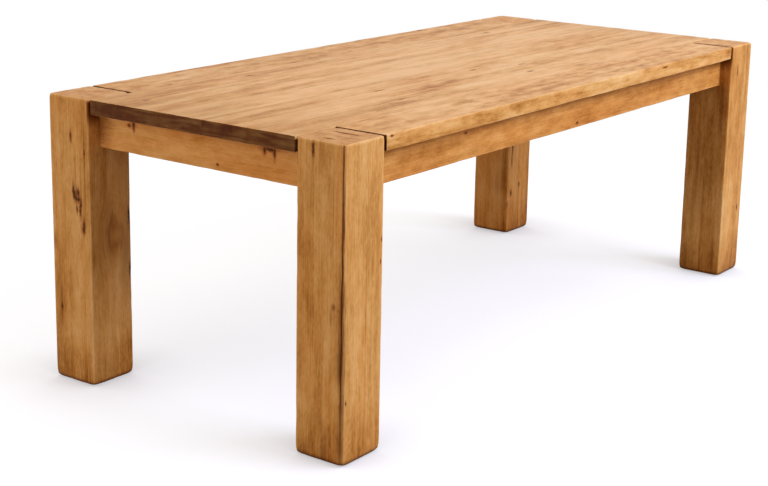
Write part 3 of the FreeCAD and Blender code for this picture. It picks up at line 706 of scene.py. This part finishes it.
def spot_coats(tree, place, node, axis, nearest, fibres, figure, grit):
    """Coats over the spots of a board: stains, the dark rings of healed knots, resin round knots and in the
    streaks drawn out of them, and the dead knots. Fibres or grit make each outline ragged."""
    finish = bpy.context.scene.pine_finish
    streaky = add(tree, "Math", {0: fibres, 1: STREAKY, 2: -STREAKY / 2}, operation="MULTIPLY_ADD")
    rough = add(tree, "Math", {0: grit, 1: ROUGH, 2: -ROUGH / 2}, operation="MULTIPLY_ADD")
    spots = []
    for stain_and_shade in STAINS_AND_SHADE.get(node, ()):
        distance = spot(tree, place, stain_and_shade[6] if len(stain_and_shade) > 6 else axis, stain_and_shade)[1]
        to_stain = add(tree, "Math", {0: distance, 1: streaky})
        spots.append(("MULTIPLY", finish.stain_and_shade, to_stain, *STAIN_REACH, stain_and_shade[5]))
    if "eye" in nearest:
        swirl = add(tree, "Math", {0: figure, 1: EYE_SWIRL, 2: -EYE_RING}, operation="MULTIPLY_ADD")
        to_eye = add(tree, "Math", {0: nearest["eye"], 1: streaky})
        to_ring = add(tree, "Math", {0: add(tree, "Math", {0: to_eye, 1: swirl})}, operation="ABSOLUTE")
        spots.append(("MULTIPLY", finish.resin, to_ring, *EYE_COAT))
    if "knot" in nearest:
        to_knot = add(tree, "Math", {0: nearest["knot"], 1: rough})
        to_streak = add(tree, "Math", {0: nearest["streak"], 1: streaky})
        spots += [
            ("MULTIPLY", finish.resin, to_knot, *RESIN_COAT),
            ("MULTIPLY", finish.resin, to_streak, *STREAK_COAT),
            ("MIX", finish.knot, to_knot, *KNOT_COAT),
        ]
    return [
        (blend, coat, add(tree, "MapRange", {
            "Value": distance, "From Min": full, "From Max": faded, "To Min": share, "To Max": 0.0}))
        for blend, coat, distance, full, faded, share in spots]


# Reclaimed pine, planed, sanded and rubbed with oil: soft honey streaks and mottling along the grain, staves
# of slightly different tone, ragged dark knots that the grain flows round, and a low satin sheen
def oiled_pine(node, axis, weights, end_share=1.0):
    """The wood of one board. Rings, fibres, flecks, bands, figure and clouds add up to a shade, which picks a
    tone from pale to umber. Coats of other colours then tint or cover it: redder staves, painted warm shade,
    bleaching and a painted sheen, stains and painted shade, knots, dirt and painted shade, and sawn ends."""
    finish = bpy.context.scene.pine_finish
    material, tree = new_material("oiled_pine_" + node)
    place = add(tree, "TexCoord").outputs["Object"]
    shift = stave_shift(tree, place, node)
    sway = grain_layer(tree, place, axis, finish.sway_size, shift).outputs["Color"]
    flow = add(tree, "VectorMath", {0: sway, 1: [finish.sway_reach] * 3, 2: place}, operation="MULTIPLY_ADD")
    flow, nearest = flow_round_knots(tree, place, flow, node, axis)
    season = growth_rings(tree, flow, node, axis)
    band_size = finish.plank_band_size if node in EDGE_PLANKS + TOP_PLANKS else finish.band_size
    fibres, flecks, bands, figure, clouds = (
        grain_layer(tree, flow, axis, size, shift, detail)
        for size, detail in (
            (finish.fibre_size, 3.0), (finish.fleck_size, 2.0), (band_size, 3.0),
            (finish.figure_size, 4.0), (finish.cloud_size, 2.0)))
    grit = grain_layer(tree, place, axis, (finish.grit_size,), shift, 3.0)
    arris, dirt_and_painted_shade, wiped_and_painted_sheen, ends = (
        add(tree, "Attribute", attribute_name=name).outputs["Fac"]
        for name in ("arris", "dirt_and_painted_shade", "wiped_and_painted_sheen", "end_grain"))

    layers = list(zip((season, fibres, flecks, bands, figure, clouds), weights, LAYER_MEANS))
    if node in LEGS:
        # Darker towards the foot of a leg
        height = add(tree, "SeparateXYZ", {0: place}).outputs["Z"]
        toward_foot = add(tree, "MapRange", {
            "Value": height, "From Max": finish.foot_darkening_height, "To Min": 1.0, "To Max": 0.0})
        layers.append((toward_foot, FOOT_DARKENING, 0))
    # Paler edges: wear, and on legs also a painted highlight along the arrises
    layers.append((arris, LEG_RUBBED_AND_HIGHLIT if node in LEGS else BOARD_RUBBED, 0))
    shade = HONEY_SHADE + TONES.get(node, 0) - sum(weight * mean for _, weight, mean in layers)
    for layer, weight, _ in layers:
        shade = add(tree, "Math", {0: layer, 1: weight, 2: shade}, operation="MULTIPLY_ADD")
    colour = add(tree, "ValToRGB", {0: shade}, stops=(
        (PALE_SHADE, tuple(finish.pale)), (UMBER_SHADE, tuple(finish.umber)),
        (HONEY_SHADE, tuple(finish.honey)), (AMBER_SHADE, tuple(finish.amber))))

    # Far from the clouds in the same noise, so that the redder places don't follow them
    other_noise = add(tree, "Math", {0: shift, 1: 40.0})
    redness = grain_layer(tree, flow, axis, finish.cloud_size, other_noise)
    ruddy = add(tree, "MapRange", {"Value": redness, "From Min": 0.35, "From Max": 0.65})
    # Wiping and a painted sheen pale the top, more where its wood is light
    bleach_and_sheen_share = add(tree, "MapRange", {
        "Value": shade, "From Min": 0.15, "From Max": 0.75, "To Min": 0.4, "To Max": 0.08})
    wiped_and_sheen_share = add(tree, "Math", {0: wiped_and_painted_sheen, 1: bleach_and_sheen_share}, operation="MULTIPLY")
    sawn = add(tree, "Math", {0: ends, 1: end_share}, operation="MULTIPLY")
    patches = add(tree, "Mapping", {"Vector": place, "Scale": finish.soak_size}, vector_type="TEXTURE")
    soak = add(tree, "TexNoise", {"Vector": patches, "Scale": 1.0, "Detail": 4.0})
    soaked = add(tree, "MapRange", {"Value": soak, "From Min": 0.38, "From Max": 0.6, "To Max": sawn})
    coats = [
        ("MULTIPLY", finish.ruddy, ruddy),
        # Painted warm shade on the boards under the table
        ("MULTIPLY", finish.warm_shade_tint, float(node in WARM_SHADED_BOARDS)),
        ("MIX", finish.wiped_and_painted_sheen, wiped_and_sheen_share),
        *spot_coats(tree, place, node, axis, nearest, fibres, figure, grit),
        # Dirt and painted shade in checks, on slot walls, at plank ends and under the feet
        ("MULTIPLY", finish.stain_and_shade, dirt_and_painted_shade),
        ("MULTIPLY", finish.resin if node in LEGS else finish.sawn_end, sawn),
        ("MULTIPLY", finish.resin, soaked),
    ]
    for blend, coat, share in coats:
        colour = add(tree, "Mix", {0: share, 6: colour, 7: (*coat, 1)},
                     data_type="RGBA", blend_type=blend).outputs[2]

    relief = add(tree, "Bump", {"Height": shade, "Strength": 0.25, "Distance": 0.5 * MM})
    gloss = add(tree, "MapRange", {
        "Value": fibres, "From Min": 0.3, "From Max": 0.7,
        "To Min": finish.roughness - 0.06, "To Max": finish.roughness + 0.08})
    skin = add(tree, "BsdfPrincipled", {
        "Base Color": colour, "Roughness": gloss, "Normal": relief, "Specular IOR Level": 0.1})
    add(tree, "OutputMaterial", {"Surface": skin})
    return material


def mottled(name, size, detail, dark, pale):
    """A material whose tone drifts from dark to pale over patches, with its tree, drift and colour."""
    material, tree = new_material(name)
    place = add(tree, "TexCoord").outputs["Object"]
    drift = add(tree, "TexNoise", {"Vector": place, "Scale": 1 / size, "Detail": detail})
    colour = add(tree, "ValToRGB", {0: drift}, stops=((0.3, tuple(dark)), (0.7, tuple(pale))))
    return material, tree, drift, colour


# Mild steel, pressed or turned and then zinc plated: pale blue-grey metal with a faint mottled sheen
def zinc_plated_steel():
    """Metal whose tone and roughness drift over patches a few millimetres wide."""
    finish = bpy.context.scene.hardware_finish
    material, tree, mottle, colour = mottled(
        "zinc_plated_steel", finish.mottle_size, 3.0, finish.dull_zinc, finish.bright_zinc)
    rough = add(tree, "MapRange", {
        "Value": mottle, "From Min": 0.3, "From Max": 0.7, "To Min": 0.32, "To Max": 0.46})
    skin = add(tree, "BsdfPrincipled", {"Base Color": colour, "Roughness": rough, "Metallic": 1.0})
    add(tree, "OutputMaterial", {"Surface": skin})
    return material


# Nylon, injection moulded and spark finished: near-black brown with a fine even grain
def moulded_nylon():
    """Dark plastic with a fine grain in its tone and relief."""
    finish = bpy.context.scene.hardware_finish
    material, tree, grain, colour = mottled(
        "moulded_nylon", finish.nylon_grain, 2.0, finish.dark_nylon, finish.pale_nylon)
    relief = add(tree, "Bump", {"Height": grain, "Strength": 0.3, "Distance": 0.1 * MM})
    skin = add(tree, "BsdfPrincipled", {"Base Color": colour, "Roughness": 0.5, "Normal": relief})
    add(tree, "OutputMaterial", {"Surface": skin})
    return material


# Matt white paint: shows the table's shadow, with painted shade near the feet and under the table, and plain
# white to the camera and in reflections
def studio_floor():
    """A pale floor that adds its own white for camera, glossy and transmission rays only, dimmed as painted
    shade near the feet and under the table, and is nothing but white to them far from the table."""
    studio = bpy.context.scene.studio
    material, tree = new_material("matt_white_floor_paint")
    seen = seen_rays(tree)
    paint = add(tree, "BsdfDiffuse", {"Color": add(tree, "Mix", {
        0: seen, 6: (*studio.floor_bounce, 1), 7: (*studio.floor_colour, 1)}, data_type="RGBA").outputs[2]})
    white = add(tree, "Math", {0: seen, 1: studio.floor_glow}, operation="MULTIPLY")
    # Painted shade: ambient occlusion dims the floor's own white near the feet and under the table
    for reach, least in (
            (studio.contact_reach, studio.contact_white), (studio.shade_reach, studio.shade_white)):
        open_air = add(tree, "AmbientOcclusion", {"Distance": reach}, samples=8)
        shaded = add(tree, "MapRange", {"Value": open_air.outputs["AO"], "From Min": 0.5, "To Min": least})
        white = add(tree, "Math", {0: white, 1: shaded}, operation="MULTIPLY")
    glow = add(tree, "Emission", {"Strength": white})
    lit = add(tree, "AddShader", {0: paint, 1: glow})
    distance = add(tree, "VectorMath", {
        0: add(tree, "TexCoord").outputs["Object"]}, operation="LENGTH").outputs["Value"]
    clear = add(tree, "MapRange", {
        "Value": distance, "From Min": studio.floor_clear[0], "From Max": studio.floor_clear[1],
        "To Max": seen}, interpolation_type="SMOOTHSTEP")
    blank = add(tree, "Emission")
    add(tree, "OutputMaterial", {"Surface": add(tree, "MixShader", {0: clear, 1: lit, 2: blank})})
    return material


def seen_rays(tree):
    """1 for the rays that show the background: camera, glossy and transmission rays."""
    path = add(tree, "LightPath")
    total = path.outputs["Is Camera Ray"]
    for name in ("Is Glossy Ray", "Is Transmission Ray"):
        total = add(tree, "Math", {0: total, 1: path.outputs[name]}, operation="MAXIMUM").outputs[0]
    return total


class TABLE_OT_legs(bpy.types.Operator):
    """Four square posts with rounded feet and checked tops"""

    bl_idname = "table.legs"
    bl_label = "Legs"

    def execute(self, context):
        shape = context.scene.board_shape
        side, top, foot = shape.post_arris, shape.post_top_arris, shape.post_foot_arris
        for node in LEGS:
            pine = oiled_pine(node, ALONG_Z, POST_GRAIN, LEG_TOPS.get(node, 0))
            make_board(node, ALONG_Z, (side, side, foot), (side, side, top), pine)
        return {"FINISHED"}


class TABLE_OT_edge_planks(bpy.types.Operator):
    """Two planks between the legs, with an eased outer edge"""

    bl_idname = "table.edge_planks"
    bl_label = "Edge planks"

    def execute(self, context):
        arris = context.scene.board_shape.plank_arris
        for node, front, back in zip(EDGE_PLANKS, (arris, 0), (0, arris)):
            pine = oiled_pine(node, ALONG_X, EDGE_GRAIN)
            make_board(node, ALONG_X, (arris, front, arris), (arris, back, arris), pine)
        return {"FINISHED"}


class TABLE_OT_top_planks(bpy.types.Operator):
    """Seven planks that run the whole length and show their sawn ends"""

    bl_idname = "table.top_planks"
    bl_label = "Top planks"

    def execute(self, context):
        arris = context.scene.board_shape.plank_arris
        for node in TOP_PLANKS:
            pine = oiled_pine(node, ALONG_X, TOP_GRAIN)
            make_board(node, ALONG_X, (arris, 0, arris), (arris, 0, arris), pine)
        return {"FINISHED"}


class TABLE_OT_aprons(bpy.types.Operator):
    """Four rails under the top, set back from the legs' outer faces"""

    bl_idname = "table.aprons"
    bl_label = "Aprons"

    def execute(self, context):
        arris = [context.scene.board_shape.apron_arris] * 3
        for node in SIDE_APRONS + END_APRONS:
            axis = ALONG_X if node in SIDE_APRONS else ALONG_Y
            make_board(node, axis, arris, arris, oiled_pine(node, axis, APRON_GRAIN))
        return {"FINISHED"}


class TABLE_OT_battens(bpy.types.Operator):
    """Three battens across the underside of the top"""

    bl_idname = "table.battens"
    bl_label = "Cross battens"

    def execute(self, context):
        for node in BATTENS:
            dress(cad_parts[node], oiled_pine(node, ALONG_Y, APRON_GRAIN))
        return {"FINISHED"}


class TABLE_OT_hardware(bpy.types.Operator):
    """Brackets, bolts, screws, clips and glides keep their shapes and get their finishes"""

    bl_idname = "table.hardware"
    bl_label = "Hardware"

    def execute(self, context):
        zinc, nylon = zinc_plated_steel(), moulded_nylon()
        for node in sorted(set(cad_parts) - set(WOODEN)):
            dress(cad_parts[node], nylon if node == GLIDES else zinc)
        return {"FINISHED"}


class TABLE_OT_stage(bpy.types.Operator):
    """White floor, soft lamps and the camera"""

    bl_idname = "table.stage"
    bl_label = "Studio"

    def execute(self, context):
        studio = context.scene.studio
        reach = studio.floor_reach
        mesh = bpy.data.meshes.new("floor")
        corners = [(-reach, -reach, 0), (reach, -reach, 0), (reach, reach, 0), (-reach, reach, 0)]
        mesh.from_pydata(corners, [], [(0, 1, 2, 3)])
        mesh.materials.append(studio_floor())
        floor = bpy.data.objects.new("floor", mesh)
        context.scene.collection.objects.link(floor)
        for name, power in (("key_lamp", studio.key_power), ("fill_lamp", studio.fill_power)):
            place, wide, high, colour = LAMPS[name]
            lamp = bpy.data.lights.new(name, "AREA")
            lamp.shape = "RECTANGLE"
            lamp.size, lamp.size_y = wide, high
            lamp.energy = power
            lamp.color = linear(colour)
            holder = bpy.data.objects.new(name, lamp)
            holder.location = place
            holder.rotation_euler = (Vector(LAMP_AIM) - Vector(place)).to_track_quat("-Z", "Y").to_euler()
            context.scene.collection.objects.link(holder)
        self.make_sky(context.scene, studio)
        self.make_camera(context.scene, studio)
        context.scene.view_settings.view_transform = "Standard"
        return {"FINISHED"}

    @staticmethod
    def make_sky(scene, studio):
        """White where it is seen, and an even soft light where it only lights."""
        world = bpy.data.worlds.new("studio")
        world.use_nodes = True
        tree = world.node_tree
        tree.nodes.clear()
        sky = add(tree, "Background", {"Color": (*studio.sky_colour, 1), "Strength": studio.sky})
        white = add(tree, "Background", {"Color": (1, 1, 1, 1), "Strength": 1.0})
        add(tree, "OutputWorld", {"Surface": add(tree, "MixShader", {0: seen_rays(tree), 1: sky, 2: white})})
        scene.world = world

    @staticmethod
    def make_camera(scene, studio):
        """A camera turned to the photograph's axis, its frame shifted so that the axis meets its row."""
        lens = bpy.data.cameras.new("photo_camera")
        lens.lens = studio.focal_pixels / PHOTO_WIDTH * lens.sensor_width
        lens.shift_y = (studio.axis_row - PHOTO_HEIGHT / 2) / PHOTO_WIDTH
        camera = bpy.data.objects.new("photo_camera", lens)
        camera.matrix_world = (
            Matrix.Translation(studio.camera_place)
            @ Matrix.Rotation(studio.camera_azimuth - math.pi / 2, 4, "Z")
            @ Matrix.Rotation(math.pi / 2 - studio.camera_elevation, 4, "X")
            @ Matrix.Rotation(-studio.camera_roll, 4, "Z"))
        scene.collection.objects.link(camera)
        scene.camera = camera


class TABLE_PT_sidebar(bpy.types.Panel):
    """Lists what the table is made of"""

    bl_idname = "TABLE_PT_sidebar"
    bl_label = "Post and plank table"
    bl_space_type = "VIEW_3D"
    bl_region_type = "UI"
    bl_category = "Table"

    def draw(self, context):
        for operator in OPERATORS:
            self.layout.operator(operator.bl_idname)
        for name in GROUPS:
            group = getattr(context.scene, name)
            for key in group.__annotations__:
                self.layout.prop(group, key)


GROUPS = {
    "board_shape": BoardShape, "pine_finish": PineFinish, "hardware_finish": HardwareFinish, "studio": Studio,
}
OPERATORS = [
    TABLE_OT_legs, TABLE_OT_edge_planks, TABLE_OT_top_planks, TABLE_OT_aprons, TABLE_OT_battens,
    TABLE_OT_hardware, TABLE_OT_stage,
]


def register():
    """Adds the settings, the operators and the panel."""
    for name, group in GROUPS.items():
        bpy.utils.register_class(group)
        setattr(bpy.types.Scene, name, PointerProperty(type=group))
    for kind in [*OPERATORS, TABLE_PT_sidebar]:
        bpy.utils.register_class(kind)


def unregister():
    """Takes away what register added."""
    for kind in reversed([*OPERATORS, TABLE_PT_sidebar]):
        bpy.utils.unregister_class(kind)
    for name, group in GROUPS.items():
        delattr(bpy.types.Scene, name)
        bpy.utils.unregister_class(group)


def main():
    """Builds the whole table."""
    register()
    for operator in OPERATORS:
        package, name = operator.bl_idname.split(".")
        getattr(getattr(bpy.ops, package), name)()


if __name__ == "__main__":
    main()
